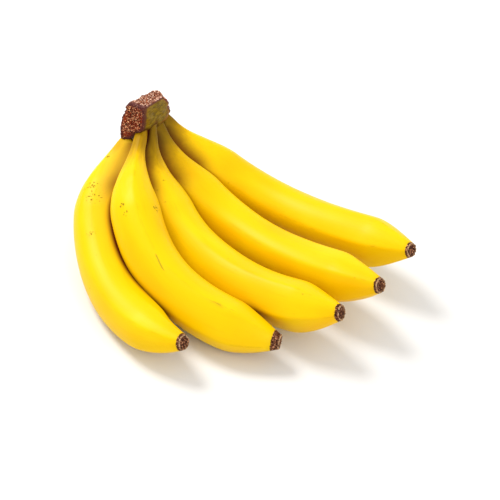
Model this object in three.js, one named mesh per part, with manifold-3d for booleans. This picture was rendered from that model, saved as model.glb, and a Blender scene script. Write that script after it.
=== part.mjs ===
// A small hand of ripe bananas: five fingers that grow side by side out of one cut crown.
// Millimetres, +Z up. The hand lies on the backs of its fingers, with the crown and the tips raised.
// The origin is the middle of its footprint, on the surface it lies on.
import * as THREE from 'three';
import { mergeVertices } from 'three/addons/utils/BufferGeometryUtils.js';
import Module from 'manifold-3d';

// Each finger follows a cubic curve from inside the crown to its blossom end.
// girth is the radius at the thickest place.
const fingers = {
  banana_1: { girth: 15.0, path: [[-87, 57, 71.5], [-127, 30, 25], [-91, -67, -1.5], [-27, -101, 27]] },
  banana_2: { girth: 17.0, path: [[-79.5, 54, 78.5], [-86, -13, 39], [-53, -62, 14], [32, -81, 18.5]] },
  banana_3: { girth: 17.0, path: [[-75, 63, 77], [-68, 22, 9], [-2, -34, 3.5], [68, -69, 39]] },
  banana_4: { girth: 17.0, path: [[-73, 73, 75.5], [-47, 67, 2], [32, 2, 5], [92, -46, 46]] },
  banana_5: { girth: 17.5, path: [[-71, 83, 73.5], [-25, 109, 1.5], [44, 54, 7], [114, -5, 46]] },
};

// What all the fingers share, along their length.
const stalkRadius = 4.8; // the narrow stalk under the crown
const stalkRootRadius = 3.9; // where the stalk ends inside the crown
const stalkRootLength = 14;
const shoulderStart = 13; // where the stalk begins to swell into the fruit
const shoulderLength = 57;
const taperLength = 32; // the narrowing towards the blossom end
const taperPower = 1.3;
const blossomRadius = 5.0; // the blunt dried end
const ridgeCount = 5;
const ridgeHeight = 0.03; // how far the ridges stand out at the ends, as a share of the radius
const ridgeHeightMiddle = 0.012; // and halfway along, where the fruit is plumpest

// The crown is a block between cut faces and skin faces, with its edges rounded off.
// Each face looks along a compass direction (degrees from +X) and a tilt above level, and lies
// this far out from the crown's centre.
const crownCentre = [-79, 66, 83];
const crownFaces = {
  topCut: { facing: 94, tilt: 86, out: 13 },
  nearCut: { facing: -114, tilt: -1, out: 16 },
  farCut: { facing: 35, tilt: 27, out: 17 },
  innerSkin: { facing: -27, tilt: -1, out: 9.3 },
  outerSkin: { facing: 154, tilt: -5, out: 13 },
  slopedCut: { facing: 148, tilt: 18, out: 7.4 },
  underside: { facing: -44, tilt: -42, out: 12.6 },
  farUnderside: { facing: 2, tilt: -41, out: 17 },
};
const crownEdgeSharpness = 10;
const clearance = 0.3; // between the crown's sockets and the stalks in them

const fingerSides = 20;
const fingerRings = 33;
const crownSides = 28;
const crownRings = 18;

const wasm = await Module();
wasm.setup();

// Swelling of a finger at a distance along it: stalk, shoulder, body and taper.
function radiusAlong(distance, length, girth) {
  const root = THREE.MathUtils.smoothstep(distance, 0, stalkRootLength);
  const stalk = THREE.MathUtils.lerp(stalkRootRadius, stalkRadius, root);
  const swell = THREE.MathUtils.smoothstep(distance, shoulderStart, shoulderStart + shoulderLength);
  const body = stalk + (girth - stalkRadius) * swell;
  const taper = THREE.MathUtils.clamp((distance - length + taperLength) / taperLength, 0, 1);
  return body * (1 - (1 - blossomRadius / girth) * taper ** taperPower);
}

// A straight lathed finger bent along its curve. Its section is a soft pentagon with a flat side
// towards the inside of the bend and a ridge along the back.
function fingerGeometry({ girth, path }, margin) {
  const curve = new THREE.CubicBezierCurve3(...path.map((point) => new THREE.Vector3(...point)));
  const length = curve.getLength();
  const profile = [new THREE.Vector2(0, -margin)];
  for (let ring = 0; ring <= fingerRings; ring += 1) {
    const distance = (ring / fingerRings) * length;
    const end = ring === 0 ? -margin : ring === fingerRings ? margin : 0;
    profile.push(new THREE.Vector2(radiusAlong(distance, length, girth) + margin, distance + end));
  }
  profile.push(new THREE.Vector2(0, length + margin));

  const geometry = new THREE.LatheGeometry(profile, fingerSides);
  const bendAxis = new THREE.Vector3().crossVectors(
    curve.getTangent(0, new THREE.Vector3()),
    curve.getTangent(1, new THREE.Vector3()),
  );
  const position = geometry.attributes.position;
  const point = new THREE.Vector3();
  for (let index = 0; index < position.count; index += 1) {
    point.fromBufferAttribute(position, index);
    const distance = point.y;
    const along = THREE.MathUtils.clamp(distance / length, 0, 1);
    const tangent = curve.getTangentAt(along);
    const inward = new THREE.Vector3().crossVectors(bendAxis, tangent).normalize();
    const sideways = new THREE.Vector3().crossVectors(tangent, inward);
    const angle = Math.atan2(point.x, point.z);
    const ridge = THREE.MathUtils.lerp(ridgeHeightMiddle, ridgeHeight, Math.abs(2 * along - 1));
    const radius = Math.hypot(point.x, point.z) * (1 - ridge * Math.cos(ridgeCount * angle));
    point.copy(curve.getPointAt(along));
    point.addScaledVector(tangent, distance - along * length);
    point.addScaledVector(inward, radius * Math.cos(angle));
    point.addScaledVector(sideways, radius * Math.sin(angle));
    position.setXYZ(index, point.x, point.y, point.z);
  }
  return geometry;
}

function faceNormal({ facing, tilt }) {
  const elevation = THREE.MathUtils.degToRad(tilt);
  const azimuth = THREE.MathUtils.degToRad(facing);
  return new THREE.Vector3(
    Math.cos(azimuth) * Math.cos(elevation),
    Math.sin(azimuth) * Math.cos(elevation),
    Math.sin(elevation),
  );
}

// A ball pushed out to the crown's faces: in each direction the radius is a high power mean of
// the distances to the faces, which rounds the edges where they meet.
function crownGeometry() {
  const faces = Object.values(crownFaces).map((face) => ({ normal: faceNormal(face), out: face.out }));
  const geometry = new THREE.SphereGeometry(1, crownSides, crownRings);
  geometry.rotateX(Math.PI / 2);
  const position = geometry.attributes.position;
  const direction = new THREE.Vector3();
  for (let index = 0; index < position.count; index += 1) {
    direction.fromBufferAttribute(position, index).normalize();
    let sum = 0;
    for (const { normal, out } of faces) {
      sum += Math.max(normal.dot(direction) / out, 0) ** crownEdgeSharpness;
    }
    direction.multiplyScalar(sum ** (-1 / crownEdgeSharpness));
    position.setXYZ(index, direction.x, direction.y, direction.z);
  }
  return geometry.translate(...crownCentre);
}

function weld(geometry) {
  geometry.deleteAttribute('normal');
  geometry.deleteAttribute('uv');
  return mergeVertices(geometry);
}

function toSolid(geometry) {
  const merged = weld(geometry);
  const vertProperties = new Float32Array(merged.attributes.position.array);
  const triVerts = new Uint32Array(merged.index.array);
  return new wasm.Manifold(new wasm.Mesh({ numProp: 3, vertProperties, triVerts }));
}

function fromSolid(solid) {
  const { vertProperties, triVerts } = solid.getMesh();
  const geometry = new THREE.BufferGeometry();
  geometry.setAttribute('position', new THREE.BufferAttribute(vertProperties, 3));
  geometry.setIndex(new THREE.BufferAttribute(triVerts, 1));
  geometry.computeVertexNormals();
  return geometry;
}

function namedMesh(name, geometry, look) {
  const mesh = new THREE.Mesh(geometry, new THREE.MeshStandardMaterial(look));
  mesh.name = name;
  return mesh;
}

const hand = new THREE.Group();
hand.name = 'banana_hand';

const peel = { color: 0xf4c812, roughness: 0.45, metalness: 0 };
for (const [name, finger] of Object.entries(fingers)) {
  const geometry = weld(fingerGeometry(finger, 0));
  geometry.computeVertexNormals();
  hand.add(namedMesh(name, geometry, peel));
}

let crown = toSolid(crownGeometry());
for (const finger of Object.values(fingers)) {
  crown = crown.subtract(toSolid(fingerGeometry(finger, clearance)));
}
hand.add(namedMesh('crown', fromSolid(crown), { color: 0x7a5230, roughness: 0.85, metalness: 0 }));

export default hand;
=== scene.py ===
import math

import bpy
import numpy as np
from mathutils import Euler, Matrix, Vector


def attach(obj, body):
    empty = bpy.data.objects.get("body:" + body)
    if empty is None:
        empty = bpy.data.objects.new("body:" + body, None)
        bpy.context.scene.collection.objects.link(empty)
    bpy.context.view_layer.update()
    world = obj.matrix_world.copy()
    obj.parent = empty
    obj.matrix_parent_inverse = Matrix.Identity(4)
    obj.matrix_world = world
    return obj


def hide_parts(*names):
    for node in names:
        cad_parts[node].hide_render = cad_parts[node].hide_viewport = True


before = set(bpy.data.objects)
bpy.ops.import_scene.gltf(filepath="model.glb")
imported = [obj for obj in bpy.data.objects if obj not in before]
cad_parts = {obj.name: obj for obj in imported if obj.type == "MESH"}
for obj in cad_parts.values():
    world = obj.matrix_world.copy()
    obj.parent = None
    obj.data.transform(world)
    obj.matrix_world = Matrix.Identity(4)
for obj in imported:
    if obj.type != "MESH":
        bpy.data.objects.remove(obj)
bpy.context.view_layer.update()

mm = 0.001
print("frame loaded:", ", ".join(sorted(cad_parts)))


# Smooth step from 0 at start to 1 at end.
def smoothStep(value, start, end):
    t = np.clip((value - start) / (end - start), 0.0, 1.0)
    return t * t * (3.0 - 2.0 * t)


# Smooth step that starts at one distance before an end and is 1 from another.
def nearing(distance, end, before, until):
    return smoothStep(distance, end - before, end - until)


# Uneven waves: the sum of sine waves of about one wavelength, in random directions, with height about 1.
def waves(points, wavelength, seed, count=26):
    rng = np.random.default_rng(seed)
    direction = rng.normal(size=(3, count))
    direction /= np.linalg.norm(direction, axis=0)
    direction *= 2.0 * math.pi / (wavelength * rng.uniform(0.7, 1.4, count))
    phase = rng.uniform(0.0, 2.0 * math.pi, count)
    return np.sin(points @ direction + phase).sum(axis=-1) / math.sqrt(count)


# Waves of several lengths added up. Each layer is (height, wavelength, seed).
def layered(points, layers):
    return sum(height * waves(points, wavelength, seed) for height, wavelength, seed in layers)


# A closed grid as a mesh: rows run from the first pole to the last pole, and columns close round.
# The poles' rows are one vertex each.
def closedGrid(name, points, attributes):
    rows, columns = points.shape[:2]
    first, last = points[0, 0], points[-1, 0]
    vertices = np.concatenate([[first], points[1:-1].reshape(-1, 3), [last]])
    ring = 1 + np.arange(rows - 2)[:, None] * columns + np.arange(columns)[None, :]
    beside = np.roll(ring, -1, axis=1)
    quads = np.stack([ring[:-1], beside[:-1], beside[1:], ring[1:]], axis=-1).reshape(-1, 4)
    lastVertex = len(vertices) - 1
    startFan = np.stack([np.zeros(columns, int), beside[0], ring[0]], axis=-1)
    endFan = np.stack([ring[-1], beside[-1], np.full(columns, lastVertex)], axis=-1)

    mesh = bpy.data.meshes.new(name)
    mesh.from_pydata(vertices.tolist(), [], startFan.tolist() + quads.tolist() + endFan.tolist())
    for key, value in attributes.items():
        flat = np.concatenate([value[:1, 0], value[1:-1].reshape((-1,) + value.shape[2:]), value[-1:, 0]])
        kind = "FLOAT_VECTOR" if flat.ndim == 2 else "FLOAT"
        field = "vector" if flat.ndim == 2 else "value"
        layer = mesh.attributes.new(key, kind, "POINT")
        layer.data.foreach_set(field, flat.astype(np.float32).ravel())
    mesh.polygons.foreach_set("use_smooth", [True] * len(mesh.polygons))
    mesh.update()
    piece = bpy.data.objects.new(name, mesh)
    bpy.context.scene.collection.objects.link(piece)
    return piece


# Inputs given as sockets are linked, and the others are set.
def fillInputs(tree, made, inputs):
    for key, value in inputs.items():
        if isinstance(value, bpy.types.NodeSocket):
            tree.links.new(value, made.inputs[key])
        else:
            made.inputs[key].default_value = value


# A node of some kind with its settings and inputs.
def addNode(tree, kind, inputs, **settings):
    made = tree.nodes.new(kind)
    for key, value in settings.items():
        setattr(made, key, value)
    fillInputs(tree, made, inputs)
    return made


# One operation on the values, such as a product. "MULTIPLY_ADD" is the first times the second plus the
# third.
def calculate(tree, operation, *values, clamp=False):
    inputs = dict(enumerate(values))
    return addNode(tree, "ShaderNodeMath", inputs, operation=operation, use_clamp=clamp).outputs[0]


# Value carried from the range low..high to 0..1, smoothly.
def ramp(tree, value, low, high):
    return addNode(tree, "ShaderNodeMapRange", {"Value": value, "From Min": low, "From Max": high},
                   interpolation_type="SMOOTHSTEP").outputs["Result"]


# A base colour with another mixed or multiplied in where a mask is, at some strength.
def laidOver(tree, base, over, mask, strength=1.0, blend="MIX"):
    share = calculate(tree, "MULTIPLY", mask, strength)
    return addNode(tree, "ShaderNodeMix", {0: share, 6: base, 7: over},
                   data_type="RGBA", blend_type=blend).outputs[2]


# A mask, or a place, that the piece's mesh holds at each vertex.
def attribute(tree, name, output="Fac"):
    return addNode(tree, "ShaderNodeAttribute", {}, attribute_name=name).outputs[output]


# Cloudy noise, 0 to 1, with about scale clouds to the metre.
def noise(tree, vector, scale, detail=3.0, roughness=0.55, output="Fac"):
    return addNode(tree, "ShaderNodeTexNoise", {"Vector": vector, "Scale": scale, "Detail": detail,
                                                "Roughness": roughness}).outputs[output]


# Places scaled along each axis: a scale under 1 draws the pattern out that way.
def stretched(tree, vector, scale):
    return addNode(tree, "ShaderNodeMapping", {"Vector": vector, "Scale": scale}).outputs["Vector"]


# Places moved about by noise, by up to a reach in metres along each axis.
def movedAbout(tree, place, scale, detail, reach):
    wobble = noise(tree, place, scale, detail, output="Color")
    return addNode(tree, "ShaderNodeVectorMath", {0: wobble, 1: reach, 2: place},
                   operation="MULTIPLY_ADD").outputs[0]


# A colour given as it looks on screen, 0 to 255, turned to the linear light that shaders work in.
def tone(red, green, blue):
    srgb = np.array([red, green, blue]) / 255.0
    linear = np.where(srgb <= 0.04045, srgb / 12.92, ((srgb + 0.055) / 1.055) ** 2.4)
    return (*linear.tolist(), 1.0)


# An empty node group with its named inputs, their starting values, and its named outputs.
def newGroup(name, inputs, outputs):
    group = bpy.data.node_groups.new(name, "ShaderNodeTree")
    for key, kind, value in inputs:
        socket = group.interface.new_socket(name=key, in_out="INPUT", socket_type=kind)
        if value is not None:
            socket.default_value = value
    for key, kind in outputs:
        group.interface.new_socket(name=key, in_out="OUTPUT", socket_type=kind)
    given = group.nodes.new("NodeGroupInput").outputs
    result = group.nodes.new("NodeGroupOutput").inputs
    return group, given, result


# A group placed in a material with its own inputs.
def placeGroup(tree, group, inputs):
    placed = tree.nodes.new("ShaderNodeGroup")
    placed.node_tree = group
    fillInputs(tree, placed, inputs)
    return placed.outputs


# A material with some of its shader's own values set.
def newMaterial(name, shader):
    material = bpy.data.materials.new(name)
    material.use_nodes = True
    tree = material.node_tree
    principled = tree.nodes["Principled BSDF"]
    for key, value in shader.items():
        principled.inputs[key].default_value = value
    return material, tree, principled


# Small relief on a surface from a height, by the bump strength and depth (metres) of a look.
def emboss(tree, shader, height, look):
    bump = addNode(tree, "ShaderNodeBump", {
        "Strength": look["bumpStrength"], "Distance": look["bumpDepth"], "Height": height})
    tree.links.new(bump.outputs[0], shader.inputs["Normal"])


floatKind, vectorKind, colourKind = "NodeSocketFloat", "NodeSocketVector", "NodeSocketColor"


# Long fibres: noise drawn out along the third coordinate, from -1 to 1 about.
def makeFibreGroup():
    group, given, result = newGroup(
        "longFibres",
        [("Place", vectorKind, None), ("Fineness", floatKind, 900.0), ("Drawn out", floatKind, 0.05)],
        [("Fibre", floatKind)])
    scale = addNode(group, "ShaderNodeCombineXYZ", {"X": 1.0, "Y": 1.0, "Z": given["Drawn out"]})
    drawn = addNode(group, "ShaderNodeVectorMath", {0: given["Place"], 1: scale.outputs[0]},
                    operation="MULTIPLY").outputs[0]
    value = noise(group, drawn, given["Fineness"], 2.0)
    centred = calculate(group, "MULTIPLY_ADD", value, 2.0, -1.0)
    group.links.new(centred, result["Fibre"])
    return group


# Freckles: small dots at the centres of uneven cells, kept where the cluster mask is.
def makeFreckleGroup():
    group, given, result = newGroup(
        "freckles",
        [("Place", vectorKind, None), ("Cluster", floatKind, 0.0), ("Fineness", floatKind, 420.0),
         ("Size", floatKind, 0.3)],
        [("Freckle", floatKind)])
    moved = movedAbout(group, given["Place"], 900.0, 2.0, (0.0008, 0.0008, 0.0014))
    cells = addNode(group, "ShaderNodeTexVoronoi", {"Vector": moved, "Scale": given["Fineness"]})
    chance = addNode(group, "ShaderNodeSeparateColor", {"Color": cells.outputs["Color"]}).outputs[0]
    kept = calculate(group, "MULTIPLY", chance, given["Cluster"])
    reach = calculate(group, "MULTIPLY", given["Size"], kept)
    inside = calculate(group, "SUBTRACT", reach, cells.outputs["Distance"])
    group.links.new(ramp(group, inside, -0.03, 0.06), result["Freckle"])
    return group


# Dried tissue: a net of dark cracks between lighter fibres, with its height.
def makeDriedGroup():
    group, given, result = newGroup(
        "driedTissue",
        [("Place", vectorKind, None), ("Fineness", floatKind, 900.0),
         ("Dark", colourKind, tone(60, 30, 20)), ("Middle", colourKind, tone(120, 70, 45)),
         ("Light", colourKind, tone(200, 150, 110))],
        [("Colour", colourKind), ("Height", floatKind)])
    moved = movedAbout(group, given["Place"], 500.0, 3.0, (0.0016, 0.0016, 0.0016))
    cells = addNode(group, "ShaderNodeTexVoronoi", {"Vector": moved, "Scale": given["Fineness"]},
                    feature="DISTANCE_TO_EDGE")
    net = ramp(group, cells.outputs["Distance"], 0.02, 0.22)
    grain = noise(group, moved, given["Fineness"], 4.0, 0.7)
    fleck = ramp(group, grain, 0.5, 0.58)
    ground = laidOver(group, given["Dark"], given["Middle"], net)
    colour = laidOver(group, ground, given["Light"], fleck, net)
    height = calculate(group, "MULTIPLY_ADD", net, 0.6, calculate(group, "MULTIPLY", grain, 0.6))
    group.links.new(colour, result["Colour"])
    group.links.new(height, result["Height"])
    return group


# A ragged band: 1 where the distance is under the edge, with the edge moved in and out by noise.
def makeBandGroup():
    group, given, result = newGroup(
        "raggedBand",
        [("Place", vectorKind, None), ("Distance", floatKind, 0.0), ("Edge", floatKind, 0.001),
         ("Ragged", floatKind, 0.001), ("Softness", floatKind, 0.0004), ("Fineness", floatKind, 700.0)],
        [("Band", floatKind)])
    shift = calculate(group, "SUBTRACT", noise(group, given["Place"], given["Fineness"], 4.0, 0.65), 0.5)
    edge = calculate(group, "MULTIPLY_ADD", shift, calculate(group, "MULTIPLY", given["Ragged"], 2.0),
                     given["Edge"])
    depth = calculate(group, "SUBTRACT", edge, given["Distance"])
    share = calculate(group, "DIVIDE", depth, given["Softness"], clamp=True)
    group.links.new(share, result["Band"])
    return group


longFibres = makeFibreGroup()
freckles = makeFreckleGroup()
driedTissue = makeDriedGroup()
raggedBand = makeBandGroup()
print("effect groups made")


# Centre lines in mm, as in the solid model. girth is the radius at the thickest place.
# turn: degrees that the five ridges are turned round the finger, and ridges: how strongly they show.
# setBack: mm that the stalk's root lies deeper in the crown. leansOn: the finger in front, which this one
# is pressed against, with full force up to the first distance of pressedTo and none from the second.
# neckShade: how strong the painted brown shade is on the neck, on its side towards that finger. green: how
# green the stalk is, and greenEnd: mm from the root where the green has gone. collar: mm of dried skin at
# the blossom end.
# Marks lie at a share of the length and in degrees round from the inside of the bend: freckles are
# (share, degrees, radius in mm, strength), and scars are (first share, last share, degrees, width in mm,
# strength).
fingers = {
    "banana_1": {
        "girth": 15.0, "path": [(-87, 57, 71.5), (-127, 30, 25), (-91, -67, -1.5), (-27, -101, 27)],
        "turn": -14, "ridges": 0.6, "setBack": 6.5, "collar": 1.6, "green": 0.1, "greenEnd": 30,
        "leansOn": "banana_2", "pressedTo": (150, 190), "neckShade": 0.75,
        "freckles": [(0.293, 64, 5.0, 1.0), (0.245, 76, 5.0, 0.8), (0.435, 68, 4.5, 0.7),
                     (0.118, 79, 1.6, 1.6), (0.62, 120, 3.0, 0.6), (0.4, 215, 5.0, 0.7)],
        "scars": [(0.3, 0.42, 200, 1.2, 0.8)]},
    "banana_2": {
        "girth": 17.0, "path": [(-79.5, 54, 78.5), (-86, -13, 39), (-53, -62, 14), (32, -81, 18.5)],
        "turn": -33, "ridges": 0.85, "setBack": 6.0, "collar": 4.5, "green": 0.5, "greenEnd": 38,
        "leansOn": None, "pressedTo": None, "neckShade": 0.0,
        "freckles": [(0.318, 110, 2.4, 1.3), (0.348, 106, 2.2, 0.9), (0.338, 28, 3.0, 1.2),
                     (0.7, 185, 4.0, 0.7), (0.5, 250, 3.0, 0.6)],
        "scars": [(0.5, 0.6, 82, 0.8, 1.4), (0.6, 0.88, 71, 0.8, 0.6)]},
    "banana_3": {
        "girth": 17.0, "path": [(-75, 63, 77), (-68, 22, 9), (-2, -34, 3.5), (68, -69, 39)],
        "turn": 0, "ridges": 0.95, "setBack": 0, "collar": 1.8, "green": 0.9, "greenEnd": 33,
        "leansOn": "banana_2", "pressedTo": (45, 90), "neckShade": 0.9,
        "freckles": [(0.201, 32, 1.3, 1.3), (0.6, 170, 4.0, 0.7), (0.35, 200, 3.5, 0.8)],
        "scars": [(0.55, 0.66, 150, 1.2, 0.8)]},
    "banana_4": {
        "girth": 17.0, "path": [(-73, 73, 75.5), (-47, 67, 2), (32, 2, 5), (92, -46, 46)],
        "turn": 2, "ridges": 1.0, "setBack": 0, "collar": 1.3, "green": 1.0, "greenEnd": 32,
        "leansOn": "banana_3", "pressedTo": (45, 90), "neckShade": 0.85,
        "freckles": [(0.5, 190, 4.0, 0.8), (0.72, 230, 3.0, 0.7)],
        "scars": [(0.38, 0.5, 214, 1.2, 0.8)]},
    "banana_5": {
        "girth": 17.5, "path": [(-71, 83, 73.5), (-25, 109, 1.5), (44, 54, 7), (114, -5, 46)],
        "turn": 0, "ridges": 1.0, "setBack": 0, "collar": 1.3, "green": 0.9, "greenEnd": 30,
        "leansOn": "banana_4", "pressedTo": (45, 90), "neckShade": 0.85,
        "freckles": [(0.3, 120, 5.0, 0.8), (0.55, 75, 4.0, 0.7), (0.42, 250, 3.0, 0.8)],
        "scars": [(0.62, 0.74, 140, 1.3, 0.8)]},
}
fingerShape = {
    "stalkRadius": 4.8, "stalkRootRadius": 3.9, "stalkRootLength": 14,
    "shoulderStart": 13, "shoulderLength": 57,
    "taperLength": 32, "taperPower": 1.3, "taperSoftness": 0.02,
    "blossomRadius": 5.0, "lipHeight": 0.7, "lipMiddle": 0.88, "cupDepth": 0.5, "cupRadius": 0.8,
    "cupPower": 0.7, "nubHeight": 0.9, "nubRadius": 0.22,
    "ridgeMiddle": 0.3, "ridgeStalk": 0.55, "ridgeTip": 0.58, "ridgeDisc": 0.25, "innerRidges": 0.75,
    "ridgesFromStalk": (22, 95), "ridgesToTip": (120, 28), "ridgesToDisc": (14, 0), "ridgeWidth": 0.16,
    "bodySharpness": 9, "tipSharpness": 20, "stalkSharpness": 13,
    "sharpFromStalk": (25, 80), "sharpToTip": (110, 35),
    "unevenness": 0.25, "unevenLength": 30.0, "unevenFrom": (8, 60), "unevenTo": (26, 6),
    "stalkGrooves": 0.10, "grooveLength": 5.0, "grooveFade": (30, 90),
    "endRoughness": 0.16, "lipRoughness": 0.018,
    "rowCrowding": 0.06, "endCrowding": 0.8,
    "rootBlend": (6, 46), "greenBlend": (24, -10), "lipMask": (0.7, 0.95), "scarFade": 0.03,
}
# How a finger presses on the one in front: over reaches of mm from its skin, longer at the neck.
pressShape = {
    "neckReach": 24.0, "bodyReach": 14.0, "neckFade": (45, 90), "overlap": 0.4, "fullNear": 0.45,
    "rootFade": (2, 12), "faces": (0.15, 0.95), "shadeFaces": (-0.1, 0.7),
}
# Painted brown shade where fingers meet: a dark crease, a haze round it, and more at the necks and roots.
creaseShape = {
    "depth": 0.97, "width": 2.7, "hazeDepth": 0.1, "hazeReach": 6.0,
    "neckReach": 3.4, "neckFade": (28, 80), "rootDepth": 0.3, "rootFade": (8, 20),
}
deeper = np.array([0.0, 0.78, -0.63])  # the way that stalks go into the crown
bodyRows, endRows, columns = 300, 30, 144
curveSteps, gapStations = 3000, 170


# Radius of a finger at a distance along it: stalk, shoulder, body and taper.
def radiusAlong(distance, length, girth):
    shape = fingerShape
    root = smoothStep(distance, 0, shape["stalkRootLength"])
    stalk = shape["stalkRootRadius"] + (shape["stalkRadius"] - shape["stalkRootRadius"]) * root
    swell = smoothStep(distance, shape["shoulderStart"], shape["shoulderStart"] + shape["shoulderLength"])
    body = stalk + (girth - shape["stalkRadius"]) * swell
    taper = (distance - length + shape["taperLength"]) / shape["taperLength"]
    # a smooth start for the taper, so that no ring shows there
    taper = np.clip((taper + np.sqrt(taper ** 2 + shape["taperSoftness"])) / 2, 0, 1)
    return body * (1 - (1 - shape["blossomRadius"] / girth) * taper ** shape["taperPower"])


# Rounded pentagon: a high power mean of the distances to five faces, the first at angle 0.
def pentagon(angle, sharpness):
    total = 0.0
    for face in range(5):
        total = total + np.maximum(np.cos(angle - face * math.radians(72)), 0.0) ** sharpness
    return total ** (-1.0 / sharpness)


# Shares of the four control points in a cubic curve, t of the way along.
def curveShares(t):
    return np.concatenate([(1 - t) ** 3, 3 * t * (1 - t) ** 2, 3 * t ** 2 * (1 - t), t ** 3], axis=1)


# Steps of t along a cubic curve, and the distance travelled at each: the sum of the short chords.
def travelAlong(path):
    t = np.linspace(0, 1, curveSteps)[:, None]
    chords = np.diff(curveShares(t) @ np.array(path, float), axis=0)
    travelled = np.concatenate([[0], np.cumsum(np.linalg.norm(chords, axis=1))])
    return t[:, 0], travelled


# Length of a cubic curve: all that is travelled along it.
def curveLength(path):
    return travelAlong(path)[1][-1]


# Places and directions on a cubic curve at some distances along it.
def alongCurve(path, distance):
    t, travelled = travelAlong(path)
    t = np.interp(distance, travelled, t)[:, None]
    control = np.array(path, float)
    slopes = 3 * np.concatenate([(1 - t) ** 2, 2 * t * (1 - t), t ** 2], axis=1)
    tangent = slopes @ np.diff(control, axis=0)
    return curveShares(t) @ control, tangent / np.linalg.norm(tangent, axis=1)[:, None]


# Angle left over after turning by some degrees, between half a turn back and half a turn on.
def turnedBy(angle, degrees):
    return np.angle(np.exp(1j * (angle - math.radians(degrees))))


# How far each point is from a finger's skin, and the direction to that finger's centre line.
def gapTo(other, points):
    finger = fingers[other]
    length = curveLength(finger["path"])
    stations = np.linspace(0, length, gapStations)
    centre = fingerCentre(finger, stations)[0]
    girths = radiusAlong(stations, length, finger["girth"])
    gap = np.full(points.shape[:-1], 99.0)
    towards = np.zeros(points.shape)
    for place, girth in zip(centre, girths):
        away = place - points
        far = np.linalg.norm(away, axis=-1)
        closer = far - girth < gap
        gap[closer] = (far - girth)[closer]
        towards[closer] = (away / far[..., None])[closer]
    return gap, towards


# Necks press on the finger in front: where its skin is near and faced, a surface moves up to it.
# Gives the moved points, and how much each point is turned to that finger.
def pressOn(name, points, outward, distance):
    leansOn = fingers[name]["leansOn"]
    if leansOn is None:
        return points, np.zeros(points.shape[:-1])
    shape = pressShape
    inNeck = 1 - smoothStep(distance, *shape["neckFade"])
    reach = shape["bodyReach"] + (shape["neckReach"] - shape["bodyReach"]) * inNeck
    gap, towards = gapTo(leansOn, points)
    faced = (towards * outward).sum(axis=-1)
    near = 1 - smoothStep(gap, shape["fullNear"] * reach, reach)
    pressed = 1 - smoothStep(distance, *fingers[name]["pressedTo"])
    force = near * smoothStep(distance, *shape["rootFade"]) * pressed
    push = np.clip(gap + shape["overlap"], 0, None) * force * smoothStep(faced, *shape["faces"])
    turnedTo = smoothStep(faced, *shape["shadeFaces"]) * force * inNeck
    return points + towards * push[..., None], turnedTo


# The smaller of the gaps to the fingers on either side.
def gapBeside(name, points):
    names = list(fingers)
    number = names.index(name)
    beside = names[max(number - 1, 0):number] + names[number + 1:number + 2]
    return np.clip(np.min([gapTo(other, points)[0] for other in beside], axis=0), 0, None)


# A finger's centre line, with its root set back into the crown.
def fingerCentre(finger, distance):
    centre, tangent = alongCurve(finger["path"], distance)
    back = finger["setBack"] * (1 - smoothStep(distance, *fingerShape["rootBlend"]))
    return centre + deeper * back[:, None], tangent


# A finger's rows: distance along the curve, radius, and height above the curve's end. Past that end the
# radius shrinks to the pole over a lip, a shallow cup and a nub.
def fingerRows(finger, length):
    shape = fingerShape
    share = np.linspace(0, 1, bodyRows)
    distance = length * (share - shape["rowCrowding"] * np.sin(2 * math.pi * share) / (2 * math.pi))
    radius = radiusAlong(distance, length, finger["girth"])
    radius[0] = 0.0
    inner = 1.0 - np.linspace(0, 1, endRows + 1)[1:] ** shape["endCrowding"]
    lipWidth = 1 - shape["lipMiddle"]
    lip = np.sqrt(np.clip(1 - ((inner - shape["lipMiddle"]) / lipWidth) ** 2, 0, 1))
    cup = np.clip(1 - (inner / shape["cupRadius"]) ** 2, 0, 1) ** shape["cupPower"]
    nub = np.exp(-(inner / shape["nubRadius"]) ** 2)
    height = shape["lipHeight"] * lip - shape["cupDepth"] * cup + shape["nubHeight"] * nub
    rows = [np.concatenate([distance, np.full(endRows, length)]),
            np.concatenate([radius, shape["blossomRadius"] * inner]),
            np.concatenate([np.zeros(bodyRows), height])]
    return [row[:, None] for row in rows]


# How strongly the five ridges show along a finger, and how sharp they are: most at its stalk and its tip.
def ridgesAlong(finger, distance, length):
    shape = fingerShape
    stalk = 1 - smoothStep(distance, *shape["ridgesFromStalk"])
    tip = nearing(distance, length, *shape["ridgesToTip"])
    strength = shape["ridgeMiddle"] + (shape["ridgeStalk"] - shape["ridgeMiddle"]) * stalk \
        + (shape["ridgeTip"] - shape["ridgeMiddle"]) * tip
    strength = finger["ridges"] * strength
    onDisc = nearing(distance, length, *shape["ridgesToDisc"])
    strength = strength + (shape["ridgeDisc"] - strength) * onDisc
    sharpTip = nearing(distance, length, *shape["sharpToTip"])
    sharpStalk = 1 - smoothStep(distance, *shape["sharpFromStalk"])
    sharpness = shape["bodySharpness"] + (shape["tipSharpness"] - shape["bodySharpness"]) * sharpTip \
        + (shape["stalkSharpness"] - shape["bodySharpness"]) * sharpStalk
    return strength, sharpness


# Painted shade, brown, from the gap to the fingers beside: bell curves of the gap, and a fall along the
# neck.
# More painted shade lies at the root under the crown and on the neck's side turned to the finger in front.
def creaseShade(finger, gap, distance, turnedTo):
    shape = creaseShape
    crease = shape["depth"] * np.exp(-(gap / shape["width"]) ** 2) \
        + shape["hazeDepth"] * np.exp(-gap / shape["hazeReach"])
    neck = np.exp(-gap / shape["neckReach"]) * (1 - smoothStep(distance, *shape["neckFade"]))
    rootStart, rootEnd = shape["rootFade"]
    root = shape["rootDepth"] * (1 - smoothStep(distance, finger["setBack"] + rootStart,
                                                finger["setBack"] + rootEnd))
    return np.max([crease, neck, root + 0 * gap, finger["neckShade"] * turnedTo ** 2], axis=0)


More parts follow.
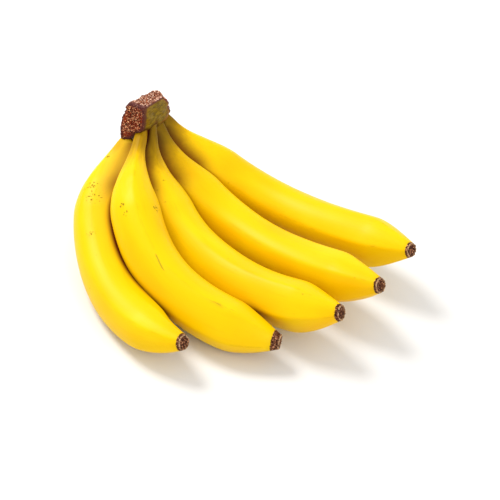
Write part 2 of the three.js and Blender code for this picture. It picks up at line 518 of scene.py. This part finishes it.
# Freckle clusters: bell-shaped spots round their middles, added up.
def freckleMask(finger, angle, distance, radius, length):
    mask = np.zeros(radius.shape)
    for at, around, reach, power in finger["freckles"]:
        aside = turnedBy(angle, around) * radius
        mask += power * np.exp(-(aside ** 2 + (distance - at * length) ** 2) / reach ** 2)
    return mask


# Scars: narrow bands along the finger that wander a little from side to side.
def scarMask(finger, angle, distance, radius, length, wander):
    mask = np.zeros(radius.shape)
    along = distance / length
    fade = fingerShape["scarFade"]
    for start, end, around, width, power in finger["scars"]:
        aside = turnedBy(angle, around) * radius + wander
        within = smoothStep(along, start, start + fade) * (1 - smoothStep(along, end - fade, end))
        mask += power * within * np.exp(-(aside / width) ** 2)
    return mask


# A finger's surface: a bent lathe whose section is between a circle and a rounded pentagon.
def fingerSurface(name, seed):
    finger = fingers[name]
    shape = fingerShape
    length = curveLength(finger["path"])
    distance, rowRadius, rowHeight = fingerRows(finger, length)
    onEnd = (np.arange(bodyRows + endRows)[:, None] >= bodyRows) * 1.0

    angle = np.linspace(0, 2 * math.pi, columns, endpoint=False)[None, :]
    ridgeAngle = angle - math.radians(finger["turn"])
    strength, sharpness = ridgesAlong(finger, distance, length)
    section = pentagon(ridgeAngle, sharpness)
    section = section / section.mean(axis=1, keepdims=True)
    # the outer three ridges stand out more than the two on the inside of the bend
    outer = shape["innerRidges"] + (1 - shape["innerRidges"]) * smoothStep(-np.cos(angle), -0.6, 0.4)
    radius = rowRadius * (1 + strength * outer * (section - 1))

    # places on the straightened finger, where patterns are laid out
    straight = np.stack([radius * np.cos(angle), radius * np.sin(angle), distance + 0 * angle], axis=-1)
    straight[..., 2] += rowHeight
    offset = np.array([0, 0, 400.0 * seed])
    onBody = smoothStep(distance, *shape["unevenFrom"])
    onBody = onBody * (1 - nearing(distance, length, *shape["unevenTo"]))
    slow = straight * np.array([1, 1, 0.45]) + offset
    radius = radius + onBody * shape["unevenness"] * waves(slow, shape["unevenLength"], seed + 10)
    grooves = waves(straight * np.array([1, 1, 0.12]) + offset, shape["grooveLength"], seed + 20)
    inStalk = (1 - onEnd) * (1 - smoothStep(distance, *shape["grooveFade"]))
    radius = radius + shape["stalkGrooves"] * grooves * inStalk

    # dried end: fibres and pits on its face, and a ragged lip
    rough = layered(straight + offset, [(1.0, 1.5, seed + 30), (0.6, 0.8, seed + 40)])
    nearEnd = np.maximum(onEnd, nearing(distance, length, 1.6, 0))
    height = rowHeight + shape["endRoughness"] * onEnd * rough
    radius = radius * (1 + shape["lipRoughness"] * nearEnd * rough * (radius > 1.0))

    # bend: the first ridge faces the inside of the curve when it isn't turned
    centre, tangent = fingerCentre(finger, distance[:, 0])
    _, ends = alongCurve(finger["path"], np.array([0.0, length]))
    bendAxis = np.cross(ends[0], ends[1])
    inward = np.cross(np.broadcast_to(bendAxis, tangent.shape), tangent)
    inward /= np.linalg.norm(inward, axis=1)[:, None]
    sideways = np.cross(tangent, inward)
    outward = np.cos(angle)[..., None] * inward[:, None] + np.sin(angle)[..., None] * sideways[:, None]
    points = centre[:, None] + tangent[:, None] * height[..., None] + radius[..., None] * outward
    points, turnedTo = pressOn(name, points, outward, distance)

    # masks that the peel and the dried end read
    offRidge = np.abs(np.mod(ridgeAngle, math.radians(72)) / math.radians(36) - 1)
    onRidge = 1 - smoothStep(offRidge, 0, shape["ridgeWidth"])
    greenEdge = distance + 3 * waves(slow, 22.0, seed + 50)
    green = 1 - nearing(greenEdge, finger["greenEnd"], *shape["greenBlend"])
    wander = 0.8 * waves(slow * np.array([0, 0, 1]), 12.0, seed + 60)
    lipEdge = smoothStep(rowRadius / shape["blossomRadius"], *shape["lipMask"])
    attributes = {
        "place": (straight + offset) * mm,
        "pastCollar": (length - distance - finger["collar"] + 0 * angle) * mm,
        "ridge": onRidge * strength / shape["ridgeTip"] * (1 - onEnd),
        "green": finger["green"] * green + 0 * angle,
        # painted shade: brown where fingers meet, on the neck's side towards the front finger, and at the
        # root
        "crease": creaseShade(finger, gapBeside(name, points), distance, turnedTo),
        "freckled": freckleMask(finger, angle, distance, radius, length),
        "scar": scarMask(finger, angle, distance, radius, length, wander),
        "lip": lipEdge * onEnd + 0 * angle,
    }
    piece = closedGrid(name + "_peel", points * mm, attributes)
    firstEndFace = columns * (bodyRows - 1)
    slots = np.zeros(len(piece.data.polygons), np.int32)
    slots[firstEndFace:] = 1
    piece.data.polygons.foreach_set("material_index", slots)
    return piece


peelLook = {
    "yellow": tone(231, 186, 0), "paleYellow": tone(231, 193, 10), "deepYellow": tone(229, 176, 0),
    "stalkGreen": tone(138, 108, 0), "stalkYellow": tone(204, 158, 0),
    # the crease brown on this line is painted shade, multiplied in where fingers meet, at necks and at
    # roots
    "ridgeBrown": tone(150, 105, 20), "freckleBrown": tone(96, 78, 10), "paintedShadeBrown": tone(104, 34, 0),
    "scarGreen": tone(150, 132, 20),
    "fibreShare": 0.25, "rubbedShare": 0.3, "scarShare": 0.75, "smudgeShare": 0.35, "markShare": 0.75,
    "castShare": 0.45, "roughness": 0.36, "grainRoughness": 0.12, "markRoughness": 0.35,
    "creaseRoughness": 0.4, "bumpStrength": 0.35, "bumpDepth": 0.0001,
}
driedLook = {
    "tissue": {"Dark": tone(40, 14, 6), "Middle": tone(98, 52, 28), "Light": tone(196, 136, 96)},
    "lip": tone(226, 184, 136), "lipShare": 0.75, "bumpStrength": 0.8, "bumpDepth": 0.0003,
}


# Peel: yellow that wanders a little between paler and deeper, olive at the stalk, with painted brown
# shade, and duller, where it is pressed against the next finger and at the root, with freckles, scars,
# long fibres and a dried collar at the end.
def makePeel():
    look = peelLook
    material, tree, shader = newMaterial("bananaPeel", {
        "Specular IOR Level": 0.08, "Subsurface Weight": 0.03, "Subsurface Scale": 0.003,
        "Subsurface Radius": (1.0, 0.55, 0.1)})
    place = attribute(tree, "place", "Vector")
    freckled, crease = attribute(tree, "freckled"), attribute(tree, "crease")

    broad = noise(tree, stretched(tree, place, (1, 1, 0.35)), 38.0, 2.0)
    colour = laidOver(tree, look["yellow"], look["paleYellow"], ramp(tree, broad, 0.5, 0.72))
    colour = laidOver(tree, colour, look["deepYellow"], ramp(tree, broad, 0.5, 0.28))
    fibre = placeGroup(tree, longFibres, {"Place": place, "Fineness": 700.0, "Drawn out": 0.04})["Fibre"]
    colour = laidOver(tree, colour, look["deepYellow"], ramp(tree, fibre, 0.0, 0.7), look["fibreShare"])
    greenNoisy = calculate(tree, "MULTIPLY_ADD", fibre, 0.2, attribute(tree, "green"))
    colour = laidOver(tree, colour, look["stalkYellow"], ramp(tree, greenNoisy, 0.0, 0.5))
    colour = laidOver(tree, colour, look["stalkGreen"], ramp(tree, greenNoisy, 0.2, 1.0))

    # brown rubbed onto the ridges in broken lines, and scars with broken edges
    broken = ramp(tree, noise(tree, stretched(tree, place, (1, 1, 0.25)), 160.0, 4.0, 0.7), 0.5, 0.66)
    rubbed = calculate(tree, "MULTIPLY", attribute(tree, "ridge"), broken)
    colour = laidOver(tree, colour, look["ridgeBrown"], rubbed, look["rubbedShare"])
    moreOrLess = calculate(tree, "SUBTRACT", broken, 0.5)
    scarEdge = calculate(tree, "MULTIPLY_ADD", moreOrLess, 0.6, attribute(tree, "scar"))
    colour = laidOver(tree, colour, look["scarGreen"], ramp(tree, scarEdge, 0.3, 0.9), look["scarShare"])

    # freckles in their clusters, and a very thin scatter of small marks everywhere
    dots = placeGroup(tree, freckles, {"Place": place, "Cluster": freckled, "Fineness": 760.0,
                                       "Size": 0.8})
    strays = placeGroup(tree, freckles, {"Place": place, "Cluster": 1.0, "Fineness": 62.0, "Size": 0.045})
    smudge = calculate(tree, "MULTIPLY", freckled, ramp(tree, broken, 0.2, 1.0))
    colour = laidOver(tree, colour, look["scarGreen"], smudge, look["smudgeShare"])
    marks = calculate(tree, "MAXIMUM", dots["Freckle"], strays["Freckle"])
    colour = laidOver(tree, colour, look["freckleBrown"], marks, look["markShare"])
    # painted shade: brown multiplied in at the creases between fingers, on the necks and at the roots
    colour = laidOver(tree, colour, look["paintedShadeBrown"], crease, blend="MULTIPLY")

    # olive cast, then a ragged dried collar, at the blossom end
    past = attribute(tree, "pastCollar")
    cast = placeGroup(tree, raggedBand, {"Place": place, "Distance": past, "Edge": 0.003, "Ragged": 0.003,
                                         "Softness": 0.005, "Fineness": 300.0})["Band"]
    colour = laidOver(tree, colour, look["stalkYellow"], cast, look["castShare"])
    band = placeGroup(tree, raggedBand, {"Place": place, "Distance": past, "Edge": 0.0, "Ragged": 0.0012,
                                         "Softness": 0.0004, "Fineness": 700.0})["Band"]
    dried = placeGroup(tree, driedTissue, {"Place": stretched(tree, place, (1, 1, 0.5)), "Fineness": 800.0,
                                           **driedLook["tissue"]})
    colour = laidOver(tree, colour, dried["Colour"], band)
    tree.links.new(colour, shader.inputs["Base Color"])

    grain = noise(tree, place, 2200.0, 2.0)
    smooth = look["roughness"] - look["grainRoughness"] / 2
    roughness = calculate(tree, "MULTIPLY_ADD", grain, look["grainRoughness"], smooth)
    rougher = calculate(tree, "MAXIMUM", band, marks)
    roughness = calculate(tree, "MULTIPLY_ADD", rougher, look["markRoughness"], roughness)
    roughness = calculate(tree, "MULTIPLY_ADD", crease, look["creaseRoughness"], roughness)
    tree.links.new(roughness, shader.inputs["Roughness"])

    # fibres and grain stand up, freckles are sunk, and the dried collar is roughest
    height = calculate(tree, "MULTIPLY_ADD", fibre, 0.5, calculate(tree, "MULTIPLY", grain, 0.5))
    height = calculate(tree, "SUBTRACT", height, marks)
    driedHeight = calculate(tree, "MULTIPLY", dried["Height"], band)
    height = calculate(tree, "MULTIPLY_ADD", driedHeight, 2.5, height)
    emboss(tree, shader, height, look)
    return material


# The dried face of the blossom end: dark, with lighter fibres, palest on its lip.
def makeDriedEnd():
    look = driedLook
    material, tree, shader = newMaterial("driedBlossomEnd", {"Roughness": 0.85, "Specular IOR Level": 0.2})
    place = attribute(tree, "place", "Vector")
    tissue = placeGroup(tree, driedTissue, {"Place": place, "Fineness": 850.0, **look["tissue"]})
    patchy = ramp(tree, noise(tree, place, 600.0, 3.0), 0.35, 0.6)
    lip = calculate(tree, "MULTIPLY", attribute(tree, "lip"), patchy)
    colour = laidOver(tree, tissue["Colour"], look["lip"], lip, look["lipShare"])
    tree.links.new(colour, shader.inputs["Base Color"])
    emboss(tree, shader, tissue["Height"], look)
    return material


peel = makePeel()
driedEnd = makeDriedEnd()
for number, name in enumerate(fingers, start=1):
    piece = fingerSurface(name, number)
    piece.data.materials.append(peel)
    piece.data.materials.append(driedEnd)
    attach(piece, "root")
    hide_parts(name)
print("fingers made:", len(fingers))


# Each face looks along a compass direction and a tilt above level, in degrees, and lies this far in mm
# from the crown's centre, as in the solid model. The cut faces are rough and the skin faces smooth: their
# waves are (height in mm, or a share of a height, wavelength in mm, seed).
crownShape = {
    "centre": (-79, 66, 83),
    "faces": {
        "topCut": (94, 86, 13), "nearCut": (-114, -1, 16), "farCut": (35, 27, 17),
        "innerSkin": (-27, -1, 9.3), "outerSkin": (154, -5, 13), "slopedCut": (148, 18, 7.4),
        "underside": (-44, -42, 12.6), "farUnderside": (2, -41, 17),
    },
    "edgeSharpness": 9, "borderSharpness": 3, "border": [(0.35, 6.0, 76), (0.2, 2.5, 77)],
    "roughness": 0.38, "cutWaves": [(1.0, 5.0, 71), (0.7, 2.2, 72), (0.5, 1.1, 73)],
    "skinRidges": [(0.12, 2.2, 74)], "lumps": [(0.35, 9.0, 78)],
    "rimHeight": 0.55, "rimWaves": [(0.3, 3.0, 75)], "creaseWidth": 1.6,
}
crownRows, crownColumns = 220, 320


# Crown: a ball pushed out to its faces, by the power mean that rounds the edges where they meet.
def crownSurface():
    shape = crownShape
    polar = np.linspace(0, math.pi, crownRows)[:, None]
    around = np.linspace(0, 2 * math.pi, crownColumns, endpoint=False)[None, :]
    direction = np.stack([np.sin(polar) * np.cos(around), np.sin(polar) * np.sin(around),
                          np.cos(polar) + 0 * around], axis=-1)
    reach = {}
    for name, (facing, tilt, out) in shape["faces"].items():
        facing, tilt = math.radians(facing), math.radians(tilt)
        level = math.cos(tilt)
        normal = np.array([math.cos(facing) * level, math.sin(facing) * level, math.sin(tilt)])
        reach[name] = np.maximum(direction @ normal / out, 0) ** shape["edgeSharpness"]
    total = sum(reach.values())
    radius = total ** (-1 / shape["edgeSharpness"])
    points = direction * radius[..., None]

    # how much each place belongs to each face, with a ragged border between them
    border = np.exp(layered(points, shape["border"]))
    soft = {name: value / total for name, value in reach.items()}
    sharp = {name: value ** shape["borderSharpness"] for name, value in soft.items()}
    sharp["innerSkin"] = sharp["innerSkin"] * border
    sharpTotal = sum(sharp.values())
    belongs = {name: value / sharpTotal for name, value in sharp.items()}
    # the rim is where a cut and the skin, or two cuts, each hold about half
    cut = belongs["topCut"] + belongs["nearCut"] + belongs["farCut"] + belongs["slopedCut"]
    top = belongs["topCut"] + belongs["slopedCut"] * 0.5
    rim = np.maximum(4 * cut * (1 - cut), 4 * belongs["nearCut"] * (1 - belongs["nearCut"]) * cut)
    dryBand = 4 * soft["nearCut"] * (1 - soft["nearCut"]) + 2 * soft["topCut"] * soft["innerSkin"]

    # the skin has faint level ridges, the cuts are rough, and the rim stands up unevenly
    rise = shape["roughness"] * cut * layered(points, shape["cutWaves"]) \
        + (1 - cut) * layered(points * np.array([0.35, 0.35, 1.0]), shape["skinRidges"]) \
        + layered(points, shape["lumps"]) \
        + shape["rimHeight"] * rim * (0.7 + layered(points, shape["rimWaves"]))
    points = points + direction * rise[..., None]
    points = points + np.array(shape["centre"])
    # brown on the underside, and painted shade where the stalks go in, by a bell curve of the gap to them
    gap = np.min([gapTo(name, points)[0] for name in fingers], axis=0)
    crease = np.exp(-(np.clip(gap, 0, None) / shape["creaseWidth"]) ** 2)
    under = 0.8 * belongs["underside"] + crease
    farEdge = soft["farCut"] + soft["farUnderside"] + 0.6 * soft["topCut"]
    attributes = {
        "cut": cut, "top": top, "rim": np.maximum(rim, dryBand), "under": np.clip(under, 0, 1),
        "farEdge": smoothStep(farEdge, 0.05, 0.6),
    }
    return closedGrid("crown_block", points * mm, attributes)


crownLook = {
    # the top cut's tissue is lighter, painted as lit; the side cuts' tissue is darker, painted shade, and
    # redder
    "litTopTissue": {"Dark": tone(70, 26, 14), "Middle": tone(160, 92, 60), "Light": tone(255, 214, 186)},
    "shadedSideTissue": {"Dark": tone(48, 10, 4), "Middle": tone(140, 50, 16), "Light": tone(255, 190, 140)},
    "sideRed": tone(164, 50, 14), "rimDark": tone(84, 42, 42), "skinGreen": tone(96, 76, 4),
    # the under brown on this line lies on the underside, and is painted shade where the stalks go in
    "skinYellow": tone(132, 108, 10), "skinBrown": tone(146, 84, 8), "undersideAndShadeBrown": tone(70, 36, 6),
    "redShare": 0.3, "blotchShare": 0.35, "farEdgeShare": 0.8, "rimShare": 0.85, "underShare": 0.8,
    "roughness": 0.55, "cutRoughness": 0.3, "bumpStrength": 0.7, "bumpDepth": 0.0004,
}


# Crown: olive skin with faint bands, brown fibrous cuts, and a dark dried rim between them. The top cut is
# painted as lit, a lighter copy of the cut tissue, and the side cuts as in shade, a darker and redder
# copy.
def makeCrown():
    look = crownLook
    material, tree, shader = newMaterial("crownSkinAndCut", {"Specular IOR Level": 0.15})
    place = addNode(tree, "ShaderNodeTexCoord", {}).outputs["Object"]
    cut = attribute(tree, "cut")
    # two copies of the cut tissue: the top one painted as lit, the side one painted as in shade
    litTopTissue = placeGroup(tree, driedTissue, {"Place": place, "Fineness": 720.0, **look["litTopTissue"]})
    shadedSideTissue = placeGroup(tree, driedTissue, {"Place": place, "Fineness": 680.0, **look["shadedSideTissue"]})
    red = ramp(tree, noise(tree, place, 90.0, 2.0), 0.42, 0.62)
    side = laidOver(tree, shadedSideTissue["Colour"], look["sideRed"], red, look["redShare"])
    cutColour = laidOver(tree, side, litTopTissue["Colour"], ramp(tree, attribute(tree, "top"), 0.3, 0.7))

    bands = noise(tree, stretched(tree, place, (0.45, 0.45, 1.0)), 620.0, 3.0)
    skin = laidOver(tree, look["skinGreen"], look["skinYellow"], ramp(tree, bands, 0.35, 0.65))
    blotch = ramp(tree, noise(tree, place, 110.0, 3.0), 0.55, 0.75)
    skin = laidOver(tree, skin, look["skinBrown"], blotch, look["blotchShare"])
    skin = laidOver(tree, skin, look["skinBrown"], attribute(tree, "farEdge"), look["farEdgeShare"])

    moreOrLess = calculate(tree, "SUBTRACT", noise(tree, place, 500.0, 4.0), 0.5)
    raggedCut = calculate(tree, "MULTIPLY_ADD", moreOrLess, 0.5, cut)
    colour = laidOver(tree, skin, cutColour, ramp(tree, raggedCut, 0.42, 0.58))
    rimNoise = noise(tree, place, 380.0, 4.0)
    raggedRim = calculate(tree, "MULTIPLY_ADD", rimNoise, 0.7, attribute(tree, "rim"))
    colour = laidOver(tree, colour, look["rimDark"], ramp(tree, raggedRim, 0.6, 1.15), look["rimShare"])
    # brown on the underside, and painted shade where the stalks go in
    colour = laidOver(tree, colour, look["undersideAndShadeBrown"], attribute(tree, "under"), look["underShare"])
    tree.links.new(colour, shader.inputs["Base Color"])
    roughness = calculate(tree, "MULTIPLY_ADD", cut, look["cutRoughness"], look["roughness"])
    tree.links.new(roughness, shader.inputs["Roughness"])
    height = calculate(tree, "MULTIPLY", shadedSideTissue["Height"], cut)
    height = calculate(tree, "MULTIPLY_ADD", bands, 0.3, height)
    emboss(tree, shader, height, look)
    return material


crownPiece = crownSurface()
crownPiece.data.materials.append(makeCrown())
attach(crownPiece, "root")
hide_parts("crown")
print("crown made")


# A pale floor under even white light, a small soft key light from the left and a weaker one opposite.
stage = {
    "floorSize": 40.0, "floorColour": (0.74, 0.735, 0.725, 1.0),
    "worldColour": (1.0, 1.0, 1.0, 1.0), "worldStrength": 0.98,
    "keyFrom": (-0.75, 0.35, 1.15), "keySize": 0.6, "keyPower": 15.5,
    "fillFrom": (0.9, -0.9, 0.7), "fillSize": 1.2, "fillPower": 5.5,
}


# The floor: one square at height 0, far wider than the view.
def makeFloor():
    half = stage["floorSize"] / 2
    mesh = bpy.data.meshes.new("studio_floor")
    corners = [(-half, -half, 0), (half, -half, 0), (half, half, 0), (-half, half, 0)]
    mesh.from_pydata(corners, [], [(0, 1, 2, 3)])
    floor = bpy.data.objects.new("studio_floor", mesh)
    bpy.context.scene.collection.objects.link(floor)
    material, _, _ = newMaterial("paleFloor", {"Base Color": stage["floorColour"], "Roughness": 0.9,
                                               "Specular IOR Level": 0.1})
    mesh.materials.append(material)


# A round lamp at a place in metres, turned to the origin.
def areaLight(name, place, size, power):
    light = bpy.data.lights.new(name, "AREA")
    light.shape = "DISK"
    light.size = size
    light.energy = power
    lamp = bpy.data.objects.new(name, light)
    lamp.location = place
    lamp.rotation_euler = (-Vector(place)).to_track_quat("-Z", "Y").to_euler()
    bpy.context.scene.collection.objects.link(lamp)


makeFloor()
areaLight("keySoftbox", stage["keyFrom"], stage["keySize"], stage["keyPower"])
areaLight("fillSoftbox", stage["fillFrom"], stage["fillSize"], stage["fillPower"])
world = bpy.data.worlds.new("studio")
world.use_nodes = True
background = world.node_tree.nodes["Background"]
background.inputs["Color"].default_value = stage["worldColour"]
background.inputs["Strength"].default_value = stage["worldStrength"]
bpy.context.scene.world = world
bpy.context.scene.view_settings.view_transform = "Standard"

viewpoint = {"target": (0.0062, 0.0004, 0.0239), "distance": 0.690, "elevation": 38.87, "roll": 7.35,
             "lens": 71.76, "sensorWidth": 36.0}


# The camera looks level along +Y, is tipped down by the elevation and rolled about its own axis.
def makeCamera():
    lens = bpy.data.cameras.new("studioCamera")
    lens.lens = viewpoint["lens"]
    lens.sensor_width = viewpoint["sensorWidth"]
    camera = bpy.data.objects.new("studioCamera", lens)
    tip = Euler((math.radians(90 - viewpoint["elevation"]), 0, 0)).to_matrix()
    roll = Euler((0, 0, math.radians(viewpoint["roll"]))).to_matrix()
    turned = tip @ roll
    camera.location = Vector(viewpoint["target"]) + turned @ Vector((0, 0, viewpoint["distance"]))
    camera.rotation_euler = turned.to_euler()
    bpy.context.scene.collection.objects.link(camera)
    bpy.context.scene.camera = camera


makeCamera()
print("stage, lights and camera made")

bpy.context.view_layer.update()
